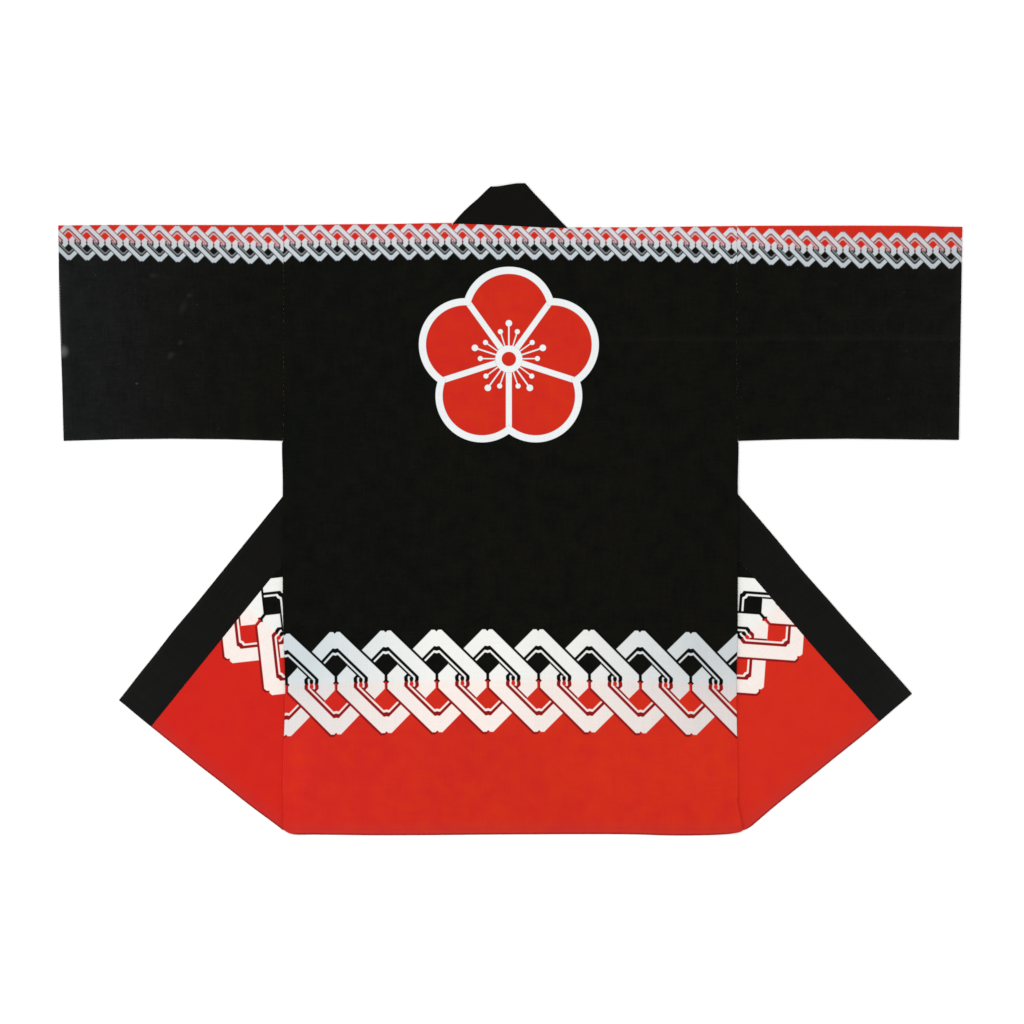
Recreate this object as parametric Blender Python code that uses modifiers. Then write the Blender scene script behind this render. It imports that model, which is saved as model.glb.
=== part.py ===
"""A cotton happi coat laid flat on a table, its back up and its two fronts folded out under it.

Every piece is cut flat, folded along its creases, and then let down onto the pieces below it and the table.
X runs from the left cuff to the right cuff, Y from the hem to the collar, and Z up from the table.
"""

import math

import bmesh
import bpy
from mathutils import Vector

# The coat's own sizes, in metres
BODY_LENGTH = 0.850
BODY_WIDTH = 0.637
CUFF_TO_CUFF = 1.265
SLEEVE_DROP = 0.301
NECK_WIDTH = 0.160
BAND_WIDTH = 0.059

# Walls: one thickness of cotton, and the band, which is the same cotton doubled
CLOTH = 0.0010
BAND = 0.0016
SEAM = 0.0003
BAND_SEAM = 0.0006

# A folded piece comes back one layer lower, round a half turn of this radius
LAYER = BAND + SEAM
FOLD_RADIUS = LAYER / 2
FOLD_STEPS = 6
HALF_TURN = math.pi * FOLD_RADIUS / 2

# Middles of the three layers where they all lie on each other
LOW = BAND / 2
MIDDLE = LOW + LAYER
TOP = MIDDLE + LAYER

# Where the lines of the coat lie
HALF_BODY = BODY_WIDTH / 2
HALF_NECK = NECK_WIDTH / 2
NECK_RISE = BAND_WIDTH + SEAM - HALF_TURN
SHOULDER = (BODY_LENGTH - NECK_RISE) / 2
HEM = SHOULDER - BODY_LENGTH
UNDERARM = SHOULDER - SLEEVE_DROP
ARMHOLE = HALF_BODY - HALF_TURN
NECK_SEAM = SHOULDER - HALF_TURN

# The back's sides and shoulders turn under by this much to meet the fronts
RETURN = HALF_TURN + 0.003
FRONT_SIDE = HALF_BODY - RETURN - SEAM
FRONT_SHOULDER = SHOULDER - RETURN - SEAM
FLAP_END = 0.0015
NECK_EASE = 0.0015
SIDE_SLIT = 0.018
HEM_CORNER = 0.012
HEM_EASE = 0.004
CORNER_STEPS = 4

# How each front is folded out: where its crease leaves the band's free edge, below the shoulder, and its slant
SIDES = {
    "left": {"sign": -1, "crease_drop": 0.010, "slant": math.radians(19.46)},
    "right": {"sign": 1, "crease_drop": 0.028, "slant": math.radians(20.3)},
}

# How the upper layers come down outside the folded band: distance from its edge, and what is left under them
OUTER_SLOPE = (
    {"distance": 0.003, "lift": LAYER},
    {"distance": 0.010, "lift": 0.0016},
    {"distance": 0.020, "lift": 0.0009},
    {"distance": 0.030, "lift": 0.0002},
    {"distance": 0.036, "lift": 0.0},
    {"distance": 0.046, "lift": CLOTH / 2 - LOW},
)

# How the back comes down to the table between the creases: distance past the crease, and share of its height
INNER_SLOPE = (
    {"distance": 0.003, "share": 1.0},
    {"distance": 0.012, "share": 0.88},
    {"distance": 0.023, "share": 0.5},
    {"distance": 0.034, "share": 0.12},
    {"distance": 0.045, "share": 0.0},
)

# A sleeve tapers by this much from its top to its lower cuff corner, and its lower edge bows up
CUFF_SLANT = {"left": 0.0076, "right": 0.0049}
LOWER_EDGE_BOW = 0.003
SLEEVE_STEPS = 4

BLACK = (0.0075, 0.0075, 0.0068)
RED = (0.62, 0.028, 0.014)

TINY = 1e-6


def clear_scene():
    for thing in list(bpy.data.objects):
        bpy.data.objects.remove(thing, do_unlink=True)


def collection(name):
    made = bpy.data.collections.new(name)
    bpy.context.scene.collection.children.link(made)
    return made


def cotton(name, colour):
    """Plain dyed cotton."""
    material = bpy.data.materials.new(name)
    material.use_nodes = True
    shader = material.node_tree.nodes["Principled BSDF"]
    shader.inputs["Base Color"].default_value = (*colour, 1.0)
    shader.inputs["Roughness"].default_value = 0.9
    shader.inputs["Metallic"].default_value = 0.0
    material.diffuse_color = (*colour, 1.0)
    return material


def piece(name, bm, wall, material, home):
    """One cloth piece: its middle surface, given a wall half to each side."""
    bmesh.ops.remove_doubles(bm, verts=bm.verts, dist=TINY * 10)
    bmesh.ops.recalc_face_normals(bm, faces=bm.faces)
    mesh = bpy.data.meshes.new(name)
    bm.to_mesh(mesh)
    bm.free()
    mesh.materials.append(material)
    made = bpy.data.objects.new(name, mesh)
    home.objects.link(made)
    solid = made.modifiers.new("Wall", "SOLIDIFY")
    solid.thickness = wall
    solid.offset = 0.0
    solid.use_even_offset = True
    solid.use_quality_normals = True
    return made


def flat_cut(outline, height):
    """The piece as it is cut, spread out flat at one height."""
    bm = bmesh.new()
    bm.faces.new([bm.verts.new((x, y, height)) for x, y in outline])
    return bm


def cut(bm, point, normal, where=None):
    """Divides the faces that lie in one place along a straight line."""
    faces = [f for f in bm.faces if where is None or all(where(v.co) for v in f.verts)]
    edges = dict.fromkeys(e for f in faces for e in f.edges)
    verts = dict.fromkeys(v for f in faces for v in f.verts)
    bmesh.ops.bisect_plane(
        bm, geom=[*faces, *edges, *verts], dist=TINY, plane_co=point, plane_no=normal
    )


def fold_under(bm, point, past, where=None):
    """Folds what lies past a crease back under the rest, where it lies mirrored, one layer lower."""
    for step in range(FOLD_STEPS + 1):
        offset = HALF_TURN * (2 * step / FOLD_STEPS - 1)
        cut(bm, point + past * offset, past, where)
    for vert in bm.verts:
        distance = (vert.co - point).dot(past)
        if distance < TINY - HALF_TURN or (where and not where(vert.co)):
            continue
        turned = min((distance + HALF_TURN) / FOLD_RADIUS, math.pi)
        turned_back = max(distance - HALF_TURN, 0.0)
        placed = FOLD_RADIUS * math.sin(turned) - HALF_TURN - turned_back
        vert.co += past * (placed - distance)
        vert.co.z -= FOLD_RADIUS * (1 - math.cos(turned))


def crease(side):
    """A point on a front's crease, and the direction from it towards the middle of the back."""
    sign, slant = side["sign"], side["slant"]
    point = Vector((sign * (HALF_NECK - BAND_WIDTH), SHOULDER - side["crease_drop"], 0))
    return point, Vector((-sign * math.cos(slant), -math.sin(slant), 0))


def outer_edge(side):
    """A point on the edge of the folded band, and the direction away from the coat's middle."""
    sign, slant = side["sign"], side["slant"]
    point, _ = crease(side)
    return point, Vector((sign * math.cos(2 * slant), math.sin(2 * slant), 0))


def along_table(rows, distance, value):
    """Reads a value from a table of distances, straight between its rows."""
    if distance <= rows[0]["distance"]:
        return rows[0][value]
    for near, far in zip(rows, rows[1:]):
        if distance <= far["distance"]:
            share = (distance - near["distance"]) / (far["distance"] - near["distance"])
            return near[value] + share * (far[value] - near[value])
    return rows[-1][value]


def beyond(line, place):
    point, normal = line
    return (place - point).dot(normal)


def lift(place):
    """How far the folded fronts hold up what lies on them."""
    flat = Vector((place.x, place.y, 0))
    return min(
        along_table(OUTER_SLOPE, beyond(outer_edge(side), flat), "lift")
        for side in SIDES.values()
    )


def share_of_height(place):
    """How much of its height the top layer keeps, past both creases."""
    flat = Vector((place.x, place.y, 0))
    past_both = min(beyond(crease(side), flat) for side in SIDES.values())
    return along_table(INNER_SLOPE, past_both, "share")


def own_half(side, below=math.inf):
    """Tells whether a place is in one side's half of the coat, and below a height."""

    def where(place):
        return place.x * side["sign"] > -TINY and place.y < below

    return where


def cut_slopes(bm, names, inner):
    """Divides a piece along the lines where the layers under it bend."""
    cut(bm, Vector((0, 0, 0)), Vector((1, 0, 0)))
    for name in names:
        side = SIDES[name]
        lines = [(outer_edge(side), OUTER_SLOPE)]
        if inner:
            lines.append((crease(side), INNER_SLOPE))
        for (point, normal), rows in lines:
            for row in rows:
                cut(bm, point + normal * row["distance"], normal, own_half(side))


def settle(bm, doubled=False):
    """Lets a piece down onto what lies under it."""
    for vert in bm.verts:
        held = lift(vert.co)
        if doubled:
            held = max(held, 0.0)
        height = vert.co.z - LAYER + held
        lowest = CLOTH / 2
        vert.co.z = lowest + (height - lowest) * share_of_height(vert.co)


def hem_corner(sign, near_x, radius, rise):
    """The rounded lower corner of a panel, from its hem to its side."""
    points = []
    for step in range(CORNER_STEPS + 1):
        angle = math.pi / 2 * step / CORNER_STEPS
        x = near_x - radius * (1 - math.sin(angle))
        points.append((sign * x, HEM + rise * (1 - math.cos(angle))))
    return points


def side_seam_end(side):
    """Where the side seam stops, a little above the place where the crease crosses it."""
    point, _ = crease(side)
    run = FRONT_SIDE - abs(point.x)
    return max(point.y - run / math.tan(side["slant"]), HEM) + SIDE_SLIT


def back_half(side):
    """Half of the back's outline, from the middle of the hem to the middle of the neck."""
    sign = side["sign"]
    seam_end = side_seam_end(side)
    return [
        *hem_corner(sign, HALF_BODY - HALF_TURN, HEM_CORNER, HEM_EASE),
        (sign * ARMHOLE, seam_end),
        (sign * (HALF_BODY + RETURN), seam_end),
        (sign * (HALF_BODY + RETURN), UNDERARM - FLAP_END),
        (sign * ARMHOLE, UNDERARM - FLAP_END),
        (sign * ARMHOLE, NECK_SEAM),
        (sign * (ARMHOLE - FLAP_END), NECK_SEAM),
        (sign * (ARMHOLE - FLAP_END), SHOULDER + RETURN),
        (sign * (HALF_NECK + FLAP_END), SHOULDER + RETURN),
        (sign * (HALF_NECK + FLAP_END), NECK_SEAM - NECK_EASE),
        (sign * (HALF_NECK - 2 * NECK_EASE), NECK_SEAM),
    ]


def back_panel(home, material):
    """The back: its sides and shoulders turn under to meet the fronts."""
    bm = flat_cut([*back_half(SIDES["right"]), *reversed(back_half(SIDES["left"]))], TOP)
    fold_under(bm, Vector((0, SHOULDER, 0)), Vector((0, 1, 0)))
    for side in SIDES.values():
        sign = side["sign"]
        fold_under(bm, Vector((sign * HALF_BODY, 0, 0)), Vector((sign, 0, 0)))
    cut_slopes(bm, list(SIDES), inner=True)
    settle(bm)
    return piece("back_panel", bm, CLOTH, material, home)


def front(name, home, material):
    """A front, from the shoulder to the hem, folded out along its crease."""
    side = SIDES[name]
    sign = side["sign"]
    neck_edge = HALF_NECK + BAND_SEAM
    bm = flat_cut(
        [
            (sign * neck_edge, FRONT_SHOULDER),
            (sign * ARMHOLE, FRONT_SHOULDER),
            (sign * ARMHOLE, UNDERARM),
            (sign * FRONT_SIDE, UNDERARM),
            *reversed(hem_corner(sign, FRONT_SIDE, HEM_CORNER, HEM_EASE)),
            (sign * neck_edge, HEM),
        ],
        MIDDLE,
    )
    fold_under(bm, *crease(side))
    cut_slopes(bm, [name], inner=False)
    settle(bm)
    return piece(f"front_{name}", bm, CLOTH, material, home)


def collar_band(home, material):
    """The band: one strip round the back of the neck and down both fronts to the hem."""
    start = NECK_SEAM + SEAM
    half_length = HALF_NECK + start - HEM
    bm = flat_cut(
        [
            (-half_length, start),
            (half_length, start),
            (half_length, start + BAND_WIDTH),
            (-half_length, start + BAND_WIDTH),
        ],
        TOP,
    )
    for side in SIDES.values():
        sign = side["sign"]
        past = Vector((sign, 1, 0)).normalized()
        fold_under(bm, Vector((sign * HALF_NECK, start, 0)), past)
    cut(bm, Vector((0, NECK_SEAM, 0)), Vector((0, 1, 0)))
    for side in SIDES.values():
        fold_under(bm, *crease(side), where=own_half(side, below=NECK_SEAM + TINY))
    cut_slopes(bm, list(SIDES), inner=True)
    settle(bm, doubled=True)
    return piece("collar_band", bm, BAND, material, home)


def sleeve_ring():
    """The flattened tube's section, as rows of depth below the shoulder and height."""
    lower, upper = CLOTH / 2, CLOTH / 2 + LAYER
    near = CLOTH / 2 + FOLD_RADIUS
    far = SLEEVE_DROP - near
    ring = []
    for depth, turn in ((near, -1), (far, 1)):
        for step in range(FOLD_STEPS + 1):
            angle = math.pi * step / FOLD_STEPS
            if turn > 0:
                angle = math.pi - angle
            y = depth + turn * FOLD_RADIUS * math.sin(angle)
            z = (lower + upper) / 2 - FOLD_RADIUS * math.cos(angle)
            ring.append((y, z))
    return ring


def next_ring(bm, loop):
    """Draws a new ring of points out of the last one, in the same order."""
    edges = [bm.edges.get((a, b)) for a, b in zip(loop, loop[1:] + loop[:1])]
    grown = bmesh.ops.extrude_edge_only(bm, edges=edges)["geom"]
    fresh = {g for g in grown if isinstance(g, bmesh.types.BMVert)}
    partners = []
    for vert in loop:
        near = [edge.other_vert(vert) for edge in vert.link_edges]
        partners.append(next(v for v in near if v in fresh))
    return partners


def sleeve(name, home, material):
    """A sleeve: a flattened tube, folded along the shoulder and sewn shut along its lower edge."""
    sign = SIDES[name]["sign"]
    ring = sleeve_ring()
    seam_x = ARMHOLE + SEAM
    length = CUFF_TO_CUFF / 2 - seam_x
    bm = bmesh.new()
    loop = bmesh.ops.create_circle(bm, cap_ends=False, segments=len(ring), radius=1)["verts"]
    for step in range(SLEEVE_STEPS + 1):
        along = step / SLEEVE_STEPS
        bow = LOWER_EDGE_BOW * 4 * along * (1 - along)
        for vert, (depth, height) in zip(loop, ring):
            down = depth / SLEEVE_DROP
            x = seam_x + along * (length - CUFF_SLANT[name] * down)
            y = SHOULDER - depth + bow * down
            vert.co = Vector((sign * x, y, height))
        if step < SLEEVE_STEPS:
            loop = next_ring(bm, loop)
    return piece(f"sleeve_{name}", bm, CLOTH, material, home)


def main():
    clear_scene()
    home = collection("happi_coat")
    panels = cotton("black_cotton", BLACK)
    fronts = cotton("red_hem_cotton", RED)
    band = cotton("band_cotton", BLACK)
    sleeves = cotton("sleeve_cotton", BLACK)
    back_panel(home, panels)
    for name in SIDES:
        front(name, home, fronts)
        sleeve(name, home, sleeves)
    collar_band(home, band)


main()
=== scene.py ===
"""The looks of a cotton happi coat that lies flat on a table, its back up and its fronts folded out under it.

Every piece of cloth is cut flat, marked with its own cloth coordinates, folded along its creases, let down
onto what lies under it, and given its wall. The dyed and printed patterns follow the cloth coordinates.
X runs from the left cuff to the right cuff, Y from the hem to the collar, Z up from the table, in metres.
"""

import functools
import math

import bmesh
import bpy
from mathutils import Matrix, Vector


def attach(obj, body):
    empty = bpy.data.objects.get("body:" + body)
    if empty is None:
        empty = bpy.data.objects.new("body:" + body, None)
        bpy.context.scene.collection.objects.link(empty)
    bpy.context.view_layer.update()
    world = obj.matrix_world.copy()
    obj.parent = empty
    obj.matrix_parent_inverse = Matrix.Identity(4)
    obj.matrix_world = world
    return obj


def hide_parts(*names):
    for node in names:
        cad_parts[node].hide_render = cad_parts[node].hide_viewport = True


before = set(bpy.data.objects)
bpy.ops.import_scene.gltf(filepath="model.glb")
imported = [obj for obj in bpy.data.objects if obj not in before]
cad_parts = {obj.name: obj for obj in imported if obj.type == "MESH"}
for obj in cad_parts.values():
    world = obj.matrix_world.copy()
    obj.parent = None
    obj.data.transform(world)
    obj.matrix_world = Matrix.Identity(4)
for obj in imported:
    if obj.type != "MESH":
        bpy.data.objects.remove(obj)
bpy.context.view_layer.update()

# The coat's own sizes
BODY_LENGTH = 0.850
BODY_WIDTH = 0.637
CUFF_TO_CUFF = 1.265
SLEEVE_DROP = 0.301
NECK_WIDTH = 0.160
BAND_WIDTH = 0.059

# The CAD walls set the layers; the cloth shown here is thinner and lies in the middle of each wall
CLOTH = 0.0010
BAND = 0.0016
SEAM = 0.0003
BAND_SEAM = 0.00012
SHOWN_CLOTH = 0.0007
SHOWN_BAND = 0.0013

# A folded piece comes back one layer lower, round a half turn of this radius
LAYER = BAND + SEAM
FOLD_RADIUS = LAYER / 2
FOLD_STEPS = 8
HALF_TURN = math.pi * FOLD_RADIUS / 2

# Middles of the layers where they all lie on each other
LOW = BAND / 2
MIDDLE = LOW + LAYER
TOP = MIDDLE + LAYER

# Where the lines of the coat lie
HALF_BODY = BODY_WIDTH / 2
HALF_NECK = NECK_WIDTH / 2
NECK_RISE = BAND_WIDTH + SEAM - HALF_TURN
SHOULDER = (BODY_LENGTH - NECK_RISE) / 2
HEM = SHOULDER - BODY_LENGTH
UNDERARM = SHOULDER - SLEEVE_DROP
ARMHOLE = HALF_BODY - HALF_TURN
SLEEVE_RUN = CUFF_TO_CUFF / 2 - HALF_BODY
NECK_SEAM = SHOULDER - HALF_TURN

# The back's sides and shoulders turn under by this much to meet the fronts
RETURN = HALF_TURN + 0.003
FRONT_SIDE = HALF_BODY - RETURN - SEAM
FRONT_SHOULDER = SHOULDER - RETURN - SEAM

# Small gaps at the ends of the turn-unders and at the neck, and how far above the crease the side seam stops
FLAP_END = 0.0015
NECK_EASE = 0.0015
SIDE_SLIT = 0.018

# The lower corners: how far the back's reach from the middle, how far in each is rounded, and its rise.
# A front's corner lies a little past its crease.
BACK_CORNERS = {
    "left": {"reach": 0.3185, "radius": 0.022, "rise": 0.011},
    "right": {"reach": 0.3255, "radius": 0.030, "rise": 0.0055},
}
FRONT_CORNERS = {"left": {"radius": 0.004, "rise": 0.002}, "right": {"radius": 0.018, "rise": 0.0065}}
PAST_CREASE = 0.001
CORNER_STEPS = 6

# How each front is folded out: where its crease leaves the band's free edge, and its slant
SIDES = {
    "left": {"sign": -1, "crease_drop": 0.010, "slant": math.radians(19.46)},
    "right": {"sign": 1, "crease_drop": 0.028, "slant": math.radians(20.3)},
}

# How the upper layers come down outside the folded band: distance from its edge, and what is left under them
OUTER_SLOPE = (
    (0.003, LAYER), (0.010, 0.0016), (0.020, 0.0009), (0.030, 0.0002), (0.036, 0.0),
    (0.046, CLOTH / 2 - LOW),
)

# How the back comes down to the table between the creases: distance past the crease, and share of its height
INNER_SLOPE = ((0.003, 1.0), (0.012, 0.88), (0.023, 0.5), (0.034, 0.12), (0.045, 0.0))

# Where the cloth is divided so that it can bend on these slopes
SLOPE_START = 0.003
SLOPE_END = 0.046
SLOPE_CUTS = 9

# The layers lie flatter at the lower ends of the body's sides: the share of height kept there, how far from
# the side this reaches, and the heights between which it begins
FLATTENED = 0.65
FLATTENED_FULL = 0.006
FLATTENED_END = 0.036
FLATTENED_BELOW = (-0.32, -0.24)

# How far each cuff slants in at its lower end, and how far a sleeve's lower edge bows up at its middle
CUFF_SLANT = {"left": 0.0076, "right": 0.0049}
LOWER_EDGE_BOW = 0.003
SLEEVE_STEPS = 4

# How finely all the cloth is divided, and the distances and angles that count as nothing or as sharp
GRID = 0.009
GRID_SNAP = 0.0004
TINY = 1e-6
SHARP_EDGE = math.radians(50)

# Soft creases that the cloth keeps, drawn one by one: start, end, height at the middle of the length, the
# width
# over which it is soft to both sides, and the bow by which it bends sideways
CREASES = (
    ((-0.300, 0.120), (-0.120, 0.040), 0.0016, 0.026, 0.012),
    ((-0.290, 0.180), (-0.150, 0.190), 0.0009, 0.020, -0.008),
    ((0.305, 0.112), (0.150, 0.010), 0.0015, 0.024, -0.014),
    ((0.285, 0.215), (0.170, 0.255), 0.0008, 0.022, 0.006),
    ((-0.560, 0.150), (-0.370, 0.210), 0.0013, 0.022, 0.010),
    ((-0.600, 0.270), (-0.440, 0.300), 0.0008, 0.018, -0.006),
    ((-0.420, 0.110), (-0.345, 0.165), 0.0010, 0.015, 0.004),
    ((0.590, 0.140), (0.420, 0.190), 0.0012, 0.024, -0.012),
    ((0.575, 0.300), (0.400, 0.275), 0.0009, 0.017, 0.007),
    ((0.395, 0.105), (0.345, 0.170), 0.0009, 0.014, -0.004),
    ((-0.070, -0.060), (-0.110, -0.330), 0.0014, 0.034, 0.018),
    ((0.090, 0.020), (0.125, -0.230), 0.0012, 0.030, -0.015),
    ((0.010, -0.200), (0.030, -0.440), 0.0011, 0.028, 0.012),
    ((-0.215, -0.250), (-0.235, -0.440), 0.0010, 0.022, -0.010),
    ((0.215, -0.290), (0.190, -0.450), 0.0009, 0.020, 0.008),
    ((-0.250, 0.000), (-0.160, -0.160), 0.0012, 0.024, 0.012),
    ((0.265, -0.030), (0.205, -0.190), 0.0011, 0.022, -0.010),
    ((-0.060, 0.340), (-0.180, 0.300), 0.0008, 0.020, 0.008),
    ((0.070, 0.345), (0.190, 0.320), 0.0007, 0.018, -0.006),
    ((-0.480, -0.250), (-0.380, -0.180), 0.0010, 0.020, 0.010),
    ((-0.400, -0.360), (-0.345, -0.270), 0.0012, 0.022, -0.008),
    ((-0.370, -0.080), (-0.335, -0.200), 0.0008, 0.016, 0.006),
    ((0.490, -0.240), (0.400, -0.150), 0.0011, 0.021, -0.010),
    ((0.395, -0.350), (0.350, -0.250), 0.0010, 0.020, 0.009),
    ((0.365, -0.050), (0.340, -0.160), 0.0008, 0.015, -0.005),
    ((0.110, 0.238), (0.620, 0.238), 0.0004, 0.011, 0.001),
)

# A slow unevenness of the whole cloth: its height, its wavelengths across and along, and where it starts
SWELL_HEIGHT = 0.0003
SWELL_ACROSS = 0.19
SWELL_ALONG = 0.23
SWELL_START = 1.1

# Where the cloth is drawn a little to one side: the place, the shift there, and how far round it that
# reaches, first for all the layers and then for single pieces
PULLS = (
    ((0.556, -0.255), (0.0064, -0.0025), 0.16),
    ((0.450, -0.350), (0.0021, -0.0026), 0.12),
    ((0.501, -0.309), (0.0006, -0.0008), 0.07),
    ((0.409, -0.085), (-0.0008, -0.0007), 0.07),
    ((-0.471, -0.169), (-0.0007, 0.0006), 0.05),
    ((-0.546, -0.263), (0.0010, 0.0), 0.05),
    ((-0.395, -0.392), (0.0008, 0.0010), 0.06),
    ((-0.630, 0.280), (-0.0010, 0.0), 0.12),
    ((0.628, 0.096), (0.0, 0.0012), 0.08),
    ((-0.3185, 0.085), (-0.0012, 0.0), 0.05),
    ((0.3185, 0.085), (0.0012, 0.0), 0.05),
    ((-0.020, 0.454), (-0.006, -0.003), 0.035),
    ((-0.046, 0.440), (-0.0028, 0.0015), 0.04),
    ((-0.060, 0.412), (-0.003, 0.0), 0.035),
    ((0.013, 0.4545), (0.0, 0.002), 0.03),
)
OWN_PULLS = {
    "front_left": (((-0.318, -0.450), (0.0008, 0.0050), 0.10),),
    "back_panel": (((-0.3175, -0.255), (0.0034, 0.0), 0.13), ((0.3175, -0.260), (-0.0018, 0.0), 0.13)),
}

# How far the shoulder's fold strays up, and the hem hangs down, at places from left to right
SHOULDER_STRAY = (
    (-0.632, 0.0009), (-0.563, 0.0015), (-0.300, 0.0016), (-0.227, 0.0027), (-0.160, 0.0031),
    (-0.110, 0.0041), (-0.060, 0.0040), (0.060, -0.0012), (0.176, -0.0015), (0.243, -0.0007),
    (0.344, 0.0004), (0.560, 0.0004), (0.632, -0.0010),
)
HEM_STRAY = (
    (-0.318, 0.0016), (-0.190, 0.0027), (-0.110, 0.0025), (-0.020, 0.0017), (0.110, 0.0012),
    (0.170, 0.0015), (0.225, 0.0030), (0.275, 0.0027), (0.318, 0.0007),
)
STRAY_FULL = 0.005
SHOULDER_STRAY_END = 0.045
HEM_STRAY_END = 0.10

# Colours, as linear light
BLACK = (0.0029, 0.0034, 0.0025)
CUFF_BLACK = {"sleeve_left": (0.0068, 0.0074, 0.0074), "sleeve_right": (0.0042, 0.0046, 0.0037)}
BAND_BLACK = (0.0040, 0.0038, 0.0032)
BAND_END_BLACK = (0.0066, 0.0067, 0.0064)
BAND_THREAD = (0.008, 0.008, 0.007)
WARM_BLACK = (0.0038, 0.0028, 0.0016)
RED = (0.506, 0.0162, 0.0112)
WARM_RED = (0.506, 0.0238, 0.0068)
FRONT_RED = {"front_left": (0.534, 0.0100, 0.0095), "front_right": (0.556, 0.0200, 0.0105)}
HEM_RED = (0.250, 0.0450, 0.0550)
DARK_RED = (0.215, 0.0060, 0.0055)
LINE_BLACK = (0.0018, 0.0018, 0.0018)
SILVER = (0.742, 0.738, 0.710)
# Blue-grey silver for the left and right: a painted reflection of the metallic ink, also used for its random
# blue tint
LEFT_SILVER_TINT_AND_REFLECTION = (0.505, 0.563, 0.588)
RIGHT_SILVER_TINT_AND_REFLECTION = (0.503, 0.535, 0.550)
REDDENED = (1.055, 0.945, 0.922)
SMALL_SILVER_ON_RED = (0.550, 0.560, 0.580)
SMALL_SILVER_ON_BLACK = (0.465, 0.510, 0.530)
SMALL_TIP_SILVER = (0.375, 0.420, 0.485)
SMALL_LINE_ON_RED = (0.190, 0.110, 0.130)
SMALL_LINE_ON_BLACK = (0.034, 0.038, 0.048)
FLOWER_SILVER = (0.690, 0.710, 0.715)
SPECK = (0.330, 0.330, 0.320)
INSIDE_BLACK = (0.0110, 0.0112, 0.0115)
INSIDE_RED = (0.360, 0.022, 0.014)

# One printed link: its outline, both edges of the line in it, and its hole. Each row is how far the slanted
# part, the side and the tip are from the middle, in shares of the pitch, and how much of the notches it has.
LARGE_LINK = (
    (1.105, 0.970, 1.006, 1.0),
    (0.740, 0.645, 0.688, 0.3),
    (0.660, 0.572, 0.602, 0.3),
    (0.610, 0.538, 0.555, 0.3),
)
SMALL_LINK = (
    (1.095, 0.970, 1.000, 1.0),
    (0.795, 0.690, 0.740, 0.3),
    (0.680, 0.590, 0.630, 0.3),
    (0.590, 0.515, 0.545, 0.3),
)
LINK_NOTCH = 0.036
OUTER_RIM = 0.046
INNER_RIM = 0.038
LARGE_SOFTNESS = 0.012
SMALL_SOFTNESS = 0.045
CHAIN_LEAN = 0.010
HEM_PITCH = 0.07118

# Where each piece's print lies in its own cloth coordinates. A line is a height, a slope and a bend.
FRONT_PRINT = {
    "shoulder_line": (0.3690, 0.0, 0.0),
    "shoulder_start": 0.0917,
    "shoulder_pitch": 0.02506,
    "seen_from": -1,
}
PRINTS = {
    "back_panel": {
        "hem_line": (-0.2400, 0.0, -0.062),
        "hem_start": -0.2450,
        "shoulder_line": (0.3741, -0.0042, -0.0455),
        "shoulder_start": -0.0917,
        "shoulder_pitch": 0.02506,
        "seen_from": 1,
    },
    "front_left": {"hem_line": (-0.2414, 0.0, 0.0), "hem_start": 0.1053, **FRONT_PRINT},
    "front_right": {"hem_line": (-0.2462, 0.0, 0.0), "hem_start": -0.1060, **FRONT_PRINT},
    "sleeve_left": {
        "shoulder_line": (0.3609, -0.0209, 0.0),
        "shoulder_start": -0.6183,
        "shoulder_pitch": 0.02540,
        "seen_from": 1,
    },
    "sleeve_right": {
        "shoulder_line": (0.4112, -0.1819, 0.1646),
        "shoulder_start": 0.4152,
        "shoulder_pitch": 0.02522,
        "seen_from": 1,
    },
}

# The weave, in metres: the distance from thread to thread, and how high threads and slubs stand
WEAVE_PITCH = 0.0008
WEAVE_HEIGHT = 0.00003
SLUB_HEIGHT = 0.00005

# How fast the cloth's tone varies, in noise cells for each metre
WEFT_LENGTHWISE = 26.0
WARP_LENGTHWISE = 22.0
SLUB_CROSSWISE = 1150.0
BROAD_ACROSS = 9.0
BROAD_ALONG = 7.0
PATCHES = 42.0
MOTTLE = 170.0
LINT = 240.0

# How the cloth takes the light
COTTON_ROUGHNESS = 0.88
INSIDE_ROUGHNESS = 0.92
SPECULAR = 0.035
SHEEN = 0.01
SHEEN_ROUGHNESS = 0.6

# Where the dye is painted lighter, duller or darker: painted light on the body's folded sides above a height,
# against the shade that falls on the rolled edge there; a duller red over the last of the hem; a painted
# shadow line along its turned edge; and painted highlights along the edges of the sleeves and the band
FOLDED_ABOVE = -0.398
HEM_DULL = 0.022
HEM_SHADOW_LINE = 0.0021
EDGE_HIGHLIGHT = 0.014
BAND_HIGHLIGHT = 0.010

# How far in the stitch rows run from each edge, how deep they pull the cloth, and how high the silver stands
HEM_STITCH = 0.0085
CUFF_STITCH = 0.014
UNDERARM_STITCH = 0.0035
BAND_STITCHES = (0.0025, 0.0030)
STITCH_DEPTH = 0.00008
BAND_STITCH_DEPTH = 0.00015
INK_HEIGHT = 0.00006

# A faint crease that the cloth keeps from lying pressed in a stack, shown with a painted highlight along it:
# its height, where it begins, and its fading
PRESSED_AT = 0.2366
PRESSED_FROM = 0.110
PRESSED_FADE_IN = 0.05
PRESSED_FADE_UP = 0.009
PRESSED_FADE_DOWN = 0.0035

# Pale threads along the left cuff: the middle and half the length of their row, the distance from one to the
# next and the share of it that shows, how far in from the edge they lie, and half their width
SPECKS_AT = 0.273
SPECKS_HALF = 0.043
SPECK_PITCH = 0.0042
SPECK_SHARE = 0.45
SPECK_INSET = 0.0008
SPECK_HALF_WIDTH = 0.0005

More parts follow.
